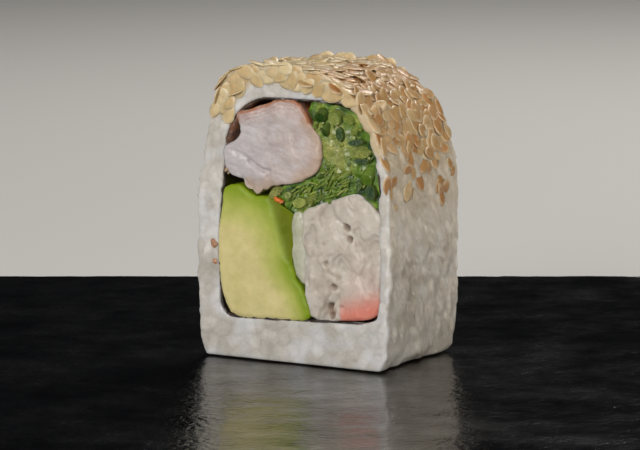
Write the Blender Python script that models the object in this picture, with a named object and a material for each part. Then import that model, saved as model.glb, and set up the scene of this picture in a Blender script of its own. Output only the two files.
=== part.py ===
"""A cut piece of uramaki, the inside-out sushi roll, standing on its square slate board.

The piece is a slice of a pressed roll: a wall of rice on the outside, a nori sheet inside it, and five
fillings that run right through from one cut face to the other. Outlines are drawn in the plane of the cut
face, with x to the right and z up from the roll's foot, both in millimetres. The roll's own frame has
the front cut face towards -Y. The slice stands turned on the board, whose sides lie along X and Y.
"""

import math

import bmesh
import bpy
from mathutils import Vector, noise

MM = 0.001

# Driving dimensions, in millimetres and degrees.
BOARD_SIDE = 160.0
BOARD_THICKNESS = 6.0
ROLL_WIDTH = 36.6
ROLL_HEIGHT = 48.0
ROLL_LENGTH = 23.8
ROLL_TURN = -30.0
NORI_THICKNESS = 0.4
GAP = 0.3

# How uneven the pressed rice is: a slow swell, and the bumps of single grains.
RICE_SWELL = 0.35
RICE_SWELL_SPAN = 11.0
RICE_GRAIN_BUMP = 0.30
RICE_GRAIN_SPAN = 2.6

# How finely the solids are faceted.
RICE_STEP = 1.55
FILLING_STEP = 1.25
LENGTH_STEPS = 12
FILLING_LENGTH_STEPS = 3
ARC_STEP = math.radians(10)

HALF_WIDTH = ROLL_WIDTH / 2
HALF_LENGTH = ROLL_LENGTH / 2

# Corners of the roll's outside at its front, each (x, z, corner radius), anticlockwise from the left foot.
# The left side leans in towards its shoulder, the right one stands straighter and rounds over further.
# The crown drops a little towards the back.
RICE_CORNERS = (
    (-HALF_WIDTH + 0.8, 0.0, 4.4),
    (HALF_WIDTH - 0.7, 0.0, 5.0),
    (HALF_WIDTH, 0.375 * ROLL_HEIGHT, 60.0),
    (HALF_WIDTH - 0.4, 0.68 * ROLL_HEIGHT, 14.0),
    (0.69 * HALF_WIDTH, ROLL_HEIGHT - 2.8, 13.0),
    (-0.05 * HALF_WIDTH, ROLL_HEIGHT + 0.4, 30.0),
    (-0.73 * HALF_WIDTH, ROLL_HEIGHT - 1.6, 5.8),
    (-HALF_WIDTH + 1.0, 0.68 * ROLL_HEIGHT, 40.0),
    (-HALF_WIDTH - 0.1, 0.375 * ROLL_HEIGHT, 60.0),
)
CROWN_DROP = 0.9

# Corners of the nori tube: a thin rice wall on the right, thicker ones on the left and at top and bottom.
NORI_CORNERS = (
    (-13.6, 6.2, 2.8),
    (16.4, 7.3, 3.0),
    (16.6, 27.0, 30.0),
    (14.7, 42.9, 10.2),
    (-11.8, 42.9, 8.6),
    (-14.0, 20.0, 30.0),
)

# The fillings' outlines, each a smooth closed line through these points. The prawn is lobed where its
# muscle curls in on itself. The avocado slice keeps its round skin side at the top and right.
PRAWN = (
    (-9.2, 39.2),
    (-6.6, 40.0),
    (-3.4, 41.5),
    (0.4, 41.8),
    (2.4, 40.7),
    (3.3, 38.9),
    (4.5, 36.5),
    (5.1, 34.0),
    (4.5, 31.9),
    (2.6, 30.5),
    (-0.6, 29.3),
    (-3.6, 28.9),
    (-6.2, 27.6),
    (-8.4, 28.6),
    (-10.6, 30.2),
    (-11.6, 32.0),
    (-11.7, 33.6),
    (-10.4, 35.2),
    (-9.4, 37.2),
)
AVOCADO = (
    (-12.2, 27.4),
    (-10.2, 28.4),
    (-8.6, 27.2),
    (-6.4, 26.4),
    (-4.3, 26.7),
    (-2.4, 25.2),
    (-0.6, 23.6),
    (-0.3, 20.0),
    (-0.3, 16.4),
    (0.7, 13.6),
    (2.2, 11.2),
    (3.1, 7.9),
    (-4.0, 7.4),
    (-10.6, 7.4),
    (-12.4, 9.8),
    (-13.2, 15.5),
    (-13.2, 20.5),
    (-12.5, 25.0),
)
PALE_STRIP = (
    (0.3, 24.0),
    (1.3, 24.1),
    (1.8, 22.4),
    (1.8, 20.6),
    (2.4, 18.2),
    (2.2, 14.6),
    (1.8, 13.1),
    (0.8, 14.3),
    (0.2, 16.6),
    (0.2, 20.2),
)
CRAB_STICK = (
    (2.2, 24.3),
    (5.4, 25.9),
    (9.0, 27.0),
    (11.8, 27.9),
    (14.2, 26.2),
    (15.4, 24.8),
    (15.5, 18.0),
    (15.3, 11.6),
    (14.2, 8.9),
    (9.0, 8.2),
    (4.2, 8.2),
    (3.0, 11.4),
    (2.8, 14.6),
    (2.9, 17.8),
    (2.3, 20.4),
    (2.5, 22.2),
)
SEAWEED_SALAD = (
    (3.3, 41.7),
    (7.0, 41.6),
    (11.2, 40.6),
    (13.9, 37.8),
    (15.1, 33.2),
    (15.5, 28.4),
    (15.3, 25.8),
    (13.8, 27.6),
    (11.7, 28.8),
    (8.4, 27.5),
    (4.8, 26.2),
    (2.2, 24.9),
    (0.0, 24.7),
    (-1.6, 26.0),
    (-3.0, 27.4),
    (-0.4, 28.5),
    (2.7, 29.6),
    (5.0, 31.2),
    (5.7, 33.8),
    (5.2, 36.5),
    (3.9, 39.4),
)


def rounded(corners):
    """Points of a polygon with arcs in its corners. Each corner is (x, z, radius)."""
    points = []
    for i, (x, z, radius) in enumerate(corners):
        here = Vector((x, z))
        before = Vector(corners[i - 1][:2]) - here
        after = Vector(corners[(i + 1) % len(corners)][:2]) - here
        half = before.angle(after) / 2
        reach = min(radius / math.tan(half), 0.48 * before.length, 0.48 * after.length)
        fitted = reach * math.tan(half)
        centre = here + (before.normalized() + after.normalized()).normalized() * fitted / math.sin(half)
        first = here + before.normalized() * reach - centre
        sweep = math.pi - 2 * half
        steps = max(1, round(sweep / ARC_STEP))
        for k in range(steps + 1):
            turn = sweep * k / steps
            points.append(
                centre
                + Vector(
                    (
                        first.x * math.cos(turn) - first.y * math.sin(turn),
                        first.x * math.sin(turn) + first.y * math.cos(turn),
                    )
                )
            )
    return points


def smooth(points):
    """A closed Catmull-Rom line through the points, with eight steps between each two."""
    line = []
    count = len(points)
    for i in range(count):
        a, b, c, d = (Vector(points[(i + k - 1) % count]) for k in range(4))
        for k in range(8):
            t = k / 8
            line.append(
                0.5
                * (2 * b + (c - a) * t + (2 * a - 5 * b + 4 * c - d) * t**2 + (3 * b - a - 3 * c + d) * t**3)
            )
    return line


def spaced(line, count):
    """The same closed line as count points at even distances, starting from its first point."""
    lengths = [(line[(i + 1) % len(line)] - p).length for i, p in enumerate(line)]
    step = sum(lengths) / count
    points = []
    i, walked = 0, 0.0
    for k in range(count):
        while walked + lengths[i] < k * step:
            walked += lengths[i]
            i += 1
        share = (k * step - walked) / lengths[i]
        points.append(line[i].lerp(line[(i + 1) % len(line)], share))
    return points


def perimeter(line):
    return sum((line[(i + 1) % len(line)] - p).length for i, p in enumerate(line))


def moved_in(line, distance):
    """The closed anticlockwise line moved towards its inside."""
    moved = []
    for i, p in enumerate(line):
        along = (line[(i + 1) % len(line)] - line[i - 1]).normalized()
        moved.append(p + Vector((-along.y, along.x)) * distance)
    return moved


def material(name, colour, roughness):
    made = bpy.data.materials.new(name)
    made.use_nodes = True
    shader = made.node_tree.nodes["Principled BSDF"]
    shader.inputs["Base Color"].default_value = (*colour, 1)
    shader.inputs["Roughness"].default_value = roughness
    shader.inputs["Metallic"].default_value = 0.0
    return made


def add_object(name, bm, finish, collection, parent=None):
    """Makes the bmesh an object, in metres, with its faces pointing out."""
    bmesh.ops.recalc_face_normals(bm, faces=bm.faces[:])
    bmesh.ops.scale(bm, vec=(MM, MM, MM), verts=bm.verts[:])
    mesh = bpy.data.meshes.new(name)
    bm.to_mesh(mesh)
    bm.free()
    mesh.materials.append(finish)
    mesh.shade_smooth()
    mesh.set_sharp_from_angle(angle=math.radians(35))
    made = bpy.data.objects.new(name, mesh)
    made.parent = parent
    collection.objects.link(made)
    return made


def add_wall(bm, line, length, steps):
    """A wall along Y on the closed line, centred on y = 0. Returns its first and last row of vertices."""
    rows = []
    for k in range(steps + 1):
        y = length * (k / steps - 0.5)
        rows.append([bm.verts.new((p.x, y, p.y)) for p in line])
    for near, far in zip(rows, rows[1:]):
        join_rows(bm, near, far)
    return rows[0], rows[-1]


def join_rows(bm, first, second):
    for i in range(len(first)):
        bm.faces.new((first[i - 1], first[i], second[i], second[i - 1]))


def tube_between(outer, inner, length, outer_steps):
    """A closed tube, centred on y = 0, between two outlines of the same number of points."""
    bm = bmesh.new()
    outer_rows = add_wall(bm, outer, length, outer_steps)
    inner_rows = add_wall(bm, inner, length, 1)
    for outer_row, inner_row in zip(outer_rows, inner_rows):
        join_rows(bm, outer_row, inner_row)
    return bm


def make_rice(collection, roll, finish):
    """The rice wall. Its outside swells and is bumpy, its foot is flat, and the knife left its ends flat."""
    count = round(perimeter(rounded(RICE_CORNERS)) / RICE_STEP)
    outer = spaced(rounded(RICE_CORNERS), count)
    inner = spaced(moved_in(spaced(rounded(NORI_CORNERS), count), -GAP), count)
    bm = tube_between(outer, inner, ROLL_LENGTH, LENGTH_STEPS)
    middle = Vector((0, 0, ROLL_HEIGHT / 2))
    on_outside = {(round(p.x, 3), round(p.y, 3)) for p in outer}
    for v in bm.verts:
        foot = v.co.z < 0.01
        if (round(v.co.x, 3), round(v.co.z, 3)) not in on_outside or foot:
            continue
        outwards = (Vector((v.co.x, 0, v.co.z)) - middle).normalized()
        swell = noise.noise(v.co / RICE_SWELL_SPAN) * RICE_SWELL
        bump = noise.noise(v.co / RICE_GRAIN_SPAN + Vector((7, 3, 5))) * RICE_GRAIN_BUMP
        v.co += outwards * (swell + bump)
        back = v.co.y / ROLL_LENGTH + 0.5
        v.co.z -= CROWN_DROP * back * max(0.0, v.co.z / ROLL_HEIGHT - 0.6) / 0.4
        v.co.z = max(v.co.z, 0.05)
    return add_object("rice", bm, finish, collection, roll)


def make_nori(collection, roll, finish):
    """The seaweed sheet, a thin closed tube between the rice and the fillings."""
    count = round(perimeter(rounded(NORI_CORNERS)) / FILLING_STEP)
    outer = spaced(rounded(NORI_CORNERS), count)
    inner = moved_in(outer, NORI_THICKNESS)
    bm = tube_between(outer, inner, ROLL_LENGTH - 2 * GAP, 1)
    return add_object("nori", bm, finish, collection, roll)


def make_filling(name, points, proud, collection, roll, finish):
    """A filling that runs through the roll. proud is how far its ends stand out of the nori's, below 0 for
    one that has drawn back, and its rim is eased as soft food is under the knife."""
    line = smooth(points)
    line = spaced(line, round(perimeter(line) / FILLING_STEP))
    ease = 0.35
    length = ROLL_LENGTH + 2 * proud - 2 * ease
    bm = bmesh.new()
    for row in add_wall(bm, line, length, FILLING_LENGTH_STEPS):
        bm.faces.new(row)
    bmesh.ops.recalc_face_normals(bm, faces=bm.faces[:])
    ends = [f for f in bm.faces if len(f.verts) > 4]
    bmesh.ops.inset_individual(bm, faces=ends, thickness=ease, depth=ease, use_even_offset=True)
    bmesh.ops.triangulate(bm, faces=[f for f in bm.faces if len(f.verts) > 4], ngon_method="BEAUTY")
    return add_object(name, bm, finish, collection, roll)


def make_board(collection, finish):
    """The slate: flat below and above, with sides that were split along the stone and so run unevenly."""
    bm = bmesh.new()
    bmesh.ops.create_cube(bm, size=1)
    bmesh.ops.scale(bm, vec=(BOARD_SIDE, BOARD_SIDE, BOARD_THICKNESS), verts=bm.verts[:])
    bmesh.ops.translate(bm, vec=(0, 0, BOARD_THICKNESS / 2), verts=bm.verts[:])
    upright = [e for e in bm.edges if abs(e.verts[0].co.z - e.verts[1].co.z) > 1]
    bmesh.ops.subdivide_edges(bm, edges=upright, cuts=2)
    level = [e for e in bm.edges if abs(e.verts[0].co.z - e.verts[1].co.z) < 0.01]
    bmesh.ops.subdivide_edges(bm, edges=level, cuts=17)
    chip = 0.9
    half = BOARD_SIDE / 2
    for v in bm.verts:
        shelf = noise.noise(Vector((v.co.x / 9, v.co.y / 9, v.co.z / 1.4)))
        pull = chip * (0.5 + 0.5 * shelf) * (0.35 + 0.65 * v.co.z / BOARD_THICKNESS)
        for axis in (0, 1):
            side = v.co[axis]
            touches = abs(v.co[1 - axis]) < 5 and v.co.z < 0.01
            if abs(side) > half - 0.01 and not touches:
                v.co[axis] = math.copysign(half - pull, side)
    flat = [f for f in bm.faces if len({round(v.co.z, 3) for v in f.verts}) == 1]
    bmesh.ops.dissolve_faces(bm, faces=[f for f in flat if f.calc_center_median().z > 1])
    bmesh.ops.dissolve_faces(bm, faces=[f for f in bm.faces if f.calc_center_median().z < 0.01])
    bmesh.ops.triangulate(bm, faces=[f for f in bm.faces if len(f.verts) > 4], ngon_method="BEAUTY")
    return add_object("slate_board", bm, finish, collection)


def clear_scene():
    for old in list(bpy.data.objects):
        bpy.data.objects.remove(old, do_unlink=True)


def main():
    clear_scene()
    collection = bpy.data.collections.new("uramaki_roll")
    bpy.context.scene.collection.children.link(collection)
    roll = bpy.data.objects.new("roll", None)
    roll.location = (0, 0, (BOARD_THICKNESS + GAP) * MM)
    roll.rotation_euler = (0, 0, math.radians(ROLL_TURN))
    collection.objects.link(roll)

    make_board(collection, material("slate", (0.030, 0.032, 0.036), 0.45))
    make_rice(collection, roll, material("rice", (0.62, 0.59, 0.52), 0.40))
    make_nori(collection, roll, material("nori", (0.020, 0.014, 0.010), 0.50))
    fillings = (
        ("prawn", PRAWN, 0.1, (0.60, 0.50, 0.46), 0.35),
        ("avocado", AVOCADO, 0.0, (0.52, 0.50, 0.19), 0.40),
        ("pale_strip", PALE_STRIP, -0.5, (0.56, 0.56, 0.46), 0.35),
        ("crab_stick", CRAB_STICK, 0.0, (0.66, 0.58, 0.50), 0.40),
        ("seaweed_salad", SEAWEED_SALAD, -0.2, (0.14, 0.25, 0.05), 0.30),
    )
    for name, points, proud, colour, roughness in fillings:
        make_filling(name, points, proud, collection, roll, material(name, colour, roughness))


main()
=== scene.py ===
# %% [markdown]
# A piece of uramaki, modelled grain by grain
#
# Uramaki is the sushi roll with its rice on the outside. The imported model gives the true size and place
# of every part, as plain solids. This lesson loads it as a fixed frame and makes the looks over it:
# rice grains pressed into one wall, toasted sesame seeds on the crown, a nori sheet, and five fillings
# seen where the knife went through. Work in order, and run each cell to see what it made.

import math
import random

import bmesh
import bpy
from mathutils import Matrix, Vector, kdtree, noise
from mathutils.bvhtree import BVHTree


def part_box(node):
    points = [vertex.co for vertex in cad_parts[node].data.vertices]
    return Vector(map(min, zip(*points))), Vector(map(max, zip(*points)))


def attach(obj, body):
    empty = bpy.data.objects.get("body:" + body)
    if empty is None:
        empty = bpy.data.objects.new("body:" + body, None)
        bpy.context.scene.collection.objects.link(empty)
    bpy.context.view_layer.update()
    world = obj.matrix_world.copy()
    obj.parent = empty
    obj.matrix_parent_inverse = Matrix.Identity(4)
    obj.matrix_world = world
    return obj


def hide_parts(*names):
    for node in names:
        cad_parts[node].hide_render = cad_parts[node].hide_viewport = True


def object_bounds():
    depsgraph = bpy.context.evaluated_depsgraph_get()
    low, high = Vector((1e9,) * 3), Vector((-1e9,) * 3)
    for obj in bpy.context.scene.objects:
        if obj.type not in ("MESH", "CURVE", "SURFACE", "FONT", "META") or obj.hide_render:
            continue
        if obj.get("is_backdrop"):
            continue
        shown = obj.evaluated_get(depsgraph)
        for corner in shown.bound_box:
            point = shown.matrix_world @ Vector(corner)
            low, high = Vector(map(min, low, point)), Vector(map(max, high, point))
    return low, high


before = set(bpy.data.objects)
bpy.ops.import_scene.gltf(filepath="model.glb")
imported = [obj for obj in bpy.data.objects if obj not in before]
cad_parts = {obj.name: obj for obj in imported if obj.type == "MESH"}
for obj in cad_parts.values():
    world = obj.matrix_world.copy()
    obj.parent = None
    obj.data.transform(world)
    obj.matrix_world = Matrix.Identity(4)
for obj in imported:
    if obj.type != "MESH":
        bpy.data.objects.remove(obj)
cad_low, cad_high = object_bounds()
print("nodes:", sorted(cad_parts))
print("size in mm:", [round(1000 * s, 1) for s in cad_high - cad_low])

# %% [markdown]
# The roll's own frame
#
# The roll stands turned on its board, so its faces aren't along the world's axes. Shapes are much easier
# to think about in the roll's own frame: millimetres, x to the right across the front cut face, y back
# through the roll, z up from its foot. One matrix carries a finished mesh from there to its true place,
# and its inverse brings a copy of a CAD solid back.

# %% The way between the roll's frame and the world
MM = 0.001
ROLL_TURN = math.radians(-30)
FOOT_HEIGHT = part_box("rice")[0].z
TO_WORLD = (
    Matrix.Translation((0, 0, FOOT_HEIGHT)) @ Matrix.Rotation(ROLL_TURN, 4, "Z") @ Matrix.Scale(MM, 4)
)
TO_ROLL = TO_WORLD.inverted()


def cad_shape(node):
    """A copy of a CAD solid, merged, in the roll's frame."""
    bm = bmesh.new()
    bm.from_mesh(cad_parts[node].data)
    bmesh.ops.remove_doubles(bm, verts=bm.verts[:], dist=0.001 * MM)
    bmesh.ops.transform(bm, matrix=TO_ROLL, verts=bm.verts[:])
    bm.normal_update()
    return bm


rice_solid = cad_shape("rice")
CUT = max(v.co.y for v in rice_solid.verts)
BOARD_TOP = (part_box("slate_board")[1].z - FOOT_HEIGHT) / MM
print("cut faces at y = +-", round(CUT, 2), "board at z =", round(BOARD_TOP, 2))

# %% [markdown]
# The camera
#
# A close portrait of a small thing is taken with a long lens, from a little above the table. A short lens
# would make the near corner of the roll swell. The camera comes first, so that every later choice of
# detail can be looked at from where it counts.

# %% A long lens, a little above the table
CAMERA_ELEVATION = math.radians(8.4)
CAMERA_DISTANCE = 583 * MM
CAMERA_LENS = 200
LOOK_AT = TO_WORLD @ Vector((-1.55, 0, 20.8))


def new_object(name, data):
    """An object in the scene."""
    made = bpy.data.objects.new(name, data)
    bpy.context.scene.collection.objects.link(made)
    return made


camera_data = bpy.data.cameras.new("camera")
camera_data.lens = CAMERA_LENS
camera = new_object("camera", camera_data)
to_camera = Vector((0, -math.cos(CAMERA_ELEVATION), math.sin(CAMERA_ELEVATION)))
camera.location = LOOK_AT + CAMERA_DISTANCE * to_camera
camera.rotation_euler = (math.pi / 2 - CAMERA_ELEVATION, 0, 0)
bpy.context.scene.camera = camera
print("camera at", [round(c, 3) for c in camera.location])

# %% [markdown]
# The studio
#
# Moist food shows its shape by soft gradients and small glints. A big softbox at the front left gives the
# gradients, a weaker one at the right opens the shaded side, and a small one high behind lights the
# seeds' edges, where they glow because they let light through. The floor is plain and pale.

# %% Lights, world and floor
FLOOR_REACH = 4  # metres


def softbox(name, place, size, power, colour):
    """A square area light that faces the roll. place and size are in metres, power in watts."""
    data = bpy.data.lights.new(name, "AREA")
    data.size = size
    data.energy = power
    data.color = colour
    light = new_object(name, data)
    light.location = place
    light.rotation_euler = (LOOK_AT - Vector(place)).to_track_quat("-Z", "Y").to_euler()


def as_mesh(name, bm):
    """The bmesh as a mesh that an object can show. The bmesh is used up."""
    mesh = bpy.data.meshes.new(name)
    bm.to_mesh(mesh)
    bm.free()
    return mesh


softbox("key", (-0.40, -0.72, 0.34), 0.45, 6.0, (1.0, 0.975, 0.945))
softbox("fill", (0.72, -0.37, 0.33), 0.32, 2.95, (1.0, 0.955, 0.895))
softbox("back", (0.20, 0.50, 0.66), 0.30, 3.4, (1.0, 0.97, 0.93))

world = bpy.data.worlds.new("studio")
world.use_nodes = True
world.node_tree.nodes["Background"].inputs["Color"].default_value = (0.006, 0.0063, 0.0070, 1)
bpy.context.scene.world = world
bpy.context.scene.view_settings.view_transform = "Standard"

floor_bm = bmesh.new()
bmesh.ops.create_grid(floor_bm, x_segments=1, y_segments=1, size=FLOOR_REACH)
bmesh.ops.translate(floor_bm, vec=(0, 0, cad_low.z - 0.1 * MM), verts=floor_bm.verts[:])
floor = new_object("floor", as_mesh("floor", floor_bm))
floor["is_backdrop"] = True

# %% [markdown]
# Small helpers for materials
#
# A material is a little network. These helpers only save typing: "add" makes a node and fills its
# sockets, "mix" blends two colours, "ramp" turns a value into a colour by stops, "spread" stretches a
# narrow run of values, and "cloudy" reads a noise. "place_in_mm" gives the place on the roll in the
# roll's own millimetres, by turning Object coordinates back with a Mapping node. Light sinks into moist
# food before it comes out again, so "new_food" starts every material that needs it.

# %% Node helpers


def feed(tree, value, socket):
    """Links an output into a socket, or sets the socket to a plain value, a colour without its alpha."""
    if isinstance(value, bpy.types.NodeSocket):
        tree.links.new(value, socket)
    else:
        socket.default_value = (*value, 1) if socket.type == "RGBA" else value


def add(tree, kind, sockets=None, **settings):
    """A new shader node. sockets maps input names to values, or to outputs that are linked in."""
    made = tree.nodes.new("ShaderNode" + kind)
    for name, value in settings.items():
        setattr(made, name, value)
    for name, value in (sockets or {}).items():
        feed(tree, value, made.inputs[name])
    return made


def mix(tree, factor, first, second, blend="MIX"):
    """The colour output of a Mix node between two colours."""
    made = add(tree, "Mix", data_type="RGBA", blend_type=blend)
    for socket, value in ((0, factor), (6, first), (7, second)):
        feed(tree, value, made.inputs[socket])
    return made.outputs[2]


def tinted(tree, body, tint):
    """A colour times another."""
    return mix(tree, 1.0, body, tint, "MULTIPLY")


def ramp(tree, factor, stops):
    """A Color Ramp through (position, colour) stops."""
    made = add(tree, "ValToRGB", {"Fac": factor})
    elements = made.color_ramp.elements
    while len(elements) < len(stops):
        elements.new(0.5)
    for element, (position, colour) in zip(elements, stops):
        element.position = position
        element.color = (*colour, 1)
    return made.outputs["Color"]


def arithmetic(tree, operation, first, second):
    """The result of a Math node."""
    made = add(tree, "Math", operation=operation)
    feed(tree, first, made.inputs[0])
    feed(tree, second, made.inputs[1])
    return made.outputs[0]


def times(tree, first, second):
    """One value times another."""
    return arithmetic(tree, "MULTIPLY", first, second)


def spread(tree, value, low, high, to_low=0.0, to_high=1.0):
    """A value's run from low to high, spread over 0 to 1 or the two ends given, and held beyond them."""
    sockets = {"Value": value, "From Min": low, "From Max": high, "To Min": to_low, "To Max": to_high}
    return add(tree, "MapRange", sockets).outputs["Result"]


def cloudy(tree, place, scale, detail=2.0, roughness=0.5):
    """The value of a noise texture."""
    sockets = {"Vector": place, "Scale": scale, "Detail": detail, "Roughness": roughness}
    return add(tree, "TexNoise", sockets).outputs["Fac"]


def drawn_out(tree, place, turn, scale):
    """The place, turned and stretched, so that a pattern read there is drawn out along one direction."""
    sockets = {"Vector": place, "Rotation": turn, "Scale": scale}
    return add(tree, "Mapping", sockets, vector_type="TEXTURE").outputs["Vector"]


def coordinate(tree, place, axis):
    """How far along the X, Y or Z axis a place is."""
    return add(tree, "SeparateXYZ", {"Vector": place}).outputs[axis]


def place_in_mm(tree, height=0.0, turn=0.0):
    """Where a point is, in millimetres, in a frame at a height and turned about the vertical."""
    spot = add(tree, "TexCoord").outputs["Object"]
    down, back = (0, 0, -height), (0, 0, -turn)
    sockets = {"Vector": spot, "Location": down, "Rotation": back, "Scale": (1 / MM,) * 3}
    return add(tree, "Mapping", sockets).outputs["Vector"]


def attribute(tree, name):
    """The red, green and blue of a mesh attribute, as three values."""
    read = add(tree, "Attribute", attribute_name=name)
    parts = add(tree, "SeparateColor", {"Color": read.outputs["Color"]})
    return parts.outputs["Red"], parts.outputs["Green"], parts.outputs["Blue"]


def new_material(name, **values):
    """A material with a Principled shader. values fill its sockets, with _ for a space in their names."""
    made = bpy.data.materials.new(name)
    made.use_nodes = True
    shader = made.node_tree.nodes["Principled BSDF"]
    for socket, value in values.items():
        shader.inputs[socket.replace("_", " ")].default_value = value
    return made, made.node_tree, shader


def new_food(name, glow, radius, depth, **values):
    """A material that light sinks into. glow is how much light does, and radius how far red, green and
    blue get, as shares of the depth in millimetres. The place on the roll comes with it."""
    made, tree, shader = new_material(
        name, Subsurface_Weight=glow, Subsurface_Radius=radius, Subsurface_Scale=depth * MM, **values
    )
    return made, tree, shader, place_in_mm(tree, FOOT_HEIGHT / MM, ROLL_TURN)


floor_finish, tree, shader = new_material("pale_floor", Roughness=0.9)
patches = add(tree, "TexNoise", {"Scale": 6.0}).outputs["Fac"]
body = ramp(tree, patches, [(0.3, (0.66, 0.65, 0.63)), (0.7, (0.72, 0.71, 0.69))])
tree.links.new(body, shader.inputs["Base Color"])
floor.data.materials.append(floor_finish)
print("floor finish:", floor_finish.name)

# %% [markdown]
# Two effects that several finishes share
#
# Cooked food is never one flat colour. "soft_mottle" clouds a surface between two colours, with big soft
# patches and smaller ones inside them. "moist_relief" is the fine unevenness that breaks up a wet
# highlight. Each is a node group, so that it's built once and every material gives it its own values.

# %% Node groups


def new_group(name, inputs, outputs):
    """A node group with sockets given as (name, socket type, default)."""
    group = bpy.data.node_groups.new(name, "ShaderNodeTree")
    for label, kind, value in inputs:
        made = group.interface.new_socket(label, in_out="INPUT", socket_type=kind)
        if value is not None:
            made.default_value = value
    for label, kind in outputs:
        group.interface.new_socket(label, in_out="OUTPUT", socket_type=kind)
    return group, group.nodes.new("NodeGroupInput").outputs, group.nodes.new("NodeGroupOutput").inputs


mottle_group, given, result = new_group(
    "soft_mottle",
    [
        ("Place", "NodeSocketVector", None),
        ("Patches Per mm", "NodeSocketFloat", 0.2),
        ("Dark", "NodeSocketColor", (0.4, 0.4, 0.4, 1)),
        ("Light", "NodeSocketColor", (0.6, 0.6, 0.6, 1)),
    ],
    [("Color", "NodeSocketColor"), ("Mask", "NodeSocketFloat")],
)
large = cloudy(mottle_group, given["Place"], given["Patches Per mm"], 4.0, 0.62)
mask = spread(mottle_group, large, 0.32, 0.68)
mottle_group.links.new(mask, result["Mask"])
mottle_group.links.new(mix(mottle_group, mask, given["Dark"], given["Light"]), result["Color"])

relief_group, given, result = new_group(
    "moist_relief",
    [
        ("Place", "NodeSocketVector", None),
        ("Bumps Per mm", "NodeSocketFloat", 2.0),
        ("Strength", "NodeSocketFloat", 0.2),
    ],
    [("Normal", "NodeSocketVector")],
)
fine = cloudy(relief_group, given["Place"], given["Bumps Per mm"], 3.0, 0.55)
bump = add(relief_group, "Bump", {"Height": fine, "Strength": given["Strength"], "Distance": 0.2 * MM})
relief_group.links.new(bump.outputs["Normal"], result["Normal"])


def use_group(tree, group, **sockets):
    """A group node in a material, with its sockets filled. _ stands for a space in their names."""
    made = add(tree, "Group", node_tree=group)
    for name, value in sockets.items():
        feed(tree, value, made.inputs[name.replace("_", " ")])
    return made.outputs


def mottled(tree, place, patches, dark, light):
    """A soft mottle between two colours, with its patches per millimetre."""
    made = use_group(tree, mottle_group, Place=place, Patches_Per_mm=patches, Dark=dark, Light=light)
    return made["Color"]


def dress(tree, shader, place, body, bumps, strength):
    """Gives a shader its colour and a moist relief with its bumps per millimetre."""
    relief = use_group(tree, relief_group, Place=place, Bumps_Per_mm=bumps, Strength=strength)
    tree.links.new(body, shader.inputs["Base Color"])
    tree.links.new(relief["Normal"], shader.inputs["Normal"])


print("groups:", [g.name for g in bpy.data.node_groups])

# %% [markdown]
# Small helpers for meshes
#
# Joining hundreds of overlapping shapes into one skin is what voxel remeshing is for. It fills space with
# small cubes, keeps those inside any of the shapes, and wraps them in even faces. "finish_piece" is the
# last step of every piece: it carries the mesh to its true place, gives it its finish, hangs it under the
# roll's body, and hides the CAD solids that it stands for.

# %% Mesh helpers


def remeshed(bm, voxel, rounds):
    """The bmesh's overlapping solids as one skin, in faces as large as the voxel, then smoothed."""
    mesh = as_mesh("work", bm)
    work = new_object("work", mesh)
    skin = work.modifiers.new("Skin", "REMESH")
    skin.mode = "VOXEL"
    skin.voxel_size = voxel
    ease = work.modifiers.new("Ease", "SMOOTH")
    ease.factor = 0.5
    ease.iterations = rounds
    made = bmesh.new()
    made.from_object(work, bpy.context.evaluated_depsgraph_get())
    bpy.data.objects.remove(work)
    bpy.data.meshes.remove(mesh)
    made.normal_update()
    return made


def is_cut(face):
    """Whether a face lies in one of the two cuts through the roll."""
    return abs(face.normal.y) > 0.9


def outside_tree(bm):
    """A search tree of a solid's outside, without its cut faces. The bmesh is used up."""
    bmesh.ops.delete(bm, geom=[f for f in bm.faces if is_cut(f)], context="FACES_ONLY")
    tree = BVHTree.FromBMesh(bm)
    bm.free()
    return tree


def scattered(faces, spacing, tries, dice):
    """Random places on the faces, no two closer than the spacing, each with its face's normal."""
    corners, weights = [], []
    for face in faces:
        first = face.verts[0].co
        for a, b in zip(face.verts[1:], face.verts[2:]):
            corners.append((first, a.co, b.co, face.normal))
            weights.append((a.co - first).cross(b.co - first).length)
    found, taken = [], {}
    for first, second, third, normal in dice.choices(corners, weights, k=tries):
        s, t = dice.random(), dice.random()
        if s + t > 1:
            s, t = 1 - s, 1 - t
        spot = first + (second - first) * s + (third - first) * t
        cell = tuple(math.floor(c / spacing) for c in spot)
        near = (
            other
            for i in (-1, 0, 1)
            for j in (-1, 0, 1)
            for k in (-1, 0, 1)
            for other in taken.get((cell[0] + i, cell[1] + j, cell[2] + k), ())
        )
        if all((spot - other).length >= spacing for other in near):
            taken.setdefault(cell, []).append(spot)
            found.append((spot, normal.copy()))
    return found


def lying(spot, along, out, size):
    """The matrix that lays a unit shape at a spot, its z along one direction and its y facing out."""
    z = along.normalized()
    x = out.cross(z).normalized()
    y = z.cross(x)
    turn = Matrix((x, y, z)).transposed().to_4x4()
    return Matrix.Translation(spot) @ turn @ Matrix.Diagonal((size[0], size[1], size[2], 1))


def stamp(bm, shape, place):
    """Adds a copy of a finished mesh to the bmesh, moved by the matrix."""
    before = len(bm.verts)
    bm.from_mesh(shape)
    bm.verts.ensure_lookup_table()
    for v in bm.verts[before:]:
        v.co = place @ v.co


def distance_to_line(x, z, points):
    """How far a place on the cut face is from an open line through the points."""
    best = 1e9
    for (x0, z0), (x1, z1) in zip(points, points[1:]):
        run, rise = x1 - x0, z1 - z0
        share = ((x - x0) * run + (z - z0) * rise) / (run * run + rise * rise)
        share = max(0.0, min(1.0, share))
        best = min(best, math.hypot(x - x0 - share * run, z - z0 - share * rise))
    return best


def eased(value, low, high):
    """0 below low, 1 above high, and a smooth step between."""
    share = max(0.0, min(1.0, (value - low) / (high - low)))
    return share * share * (3 - 2 * share)


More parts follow.
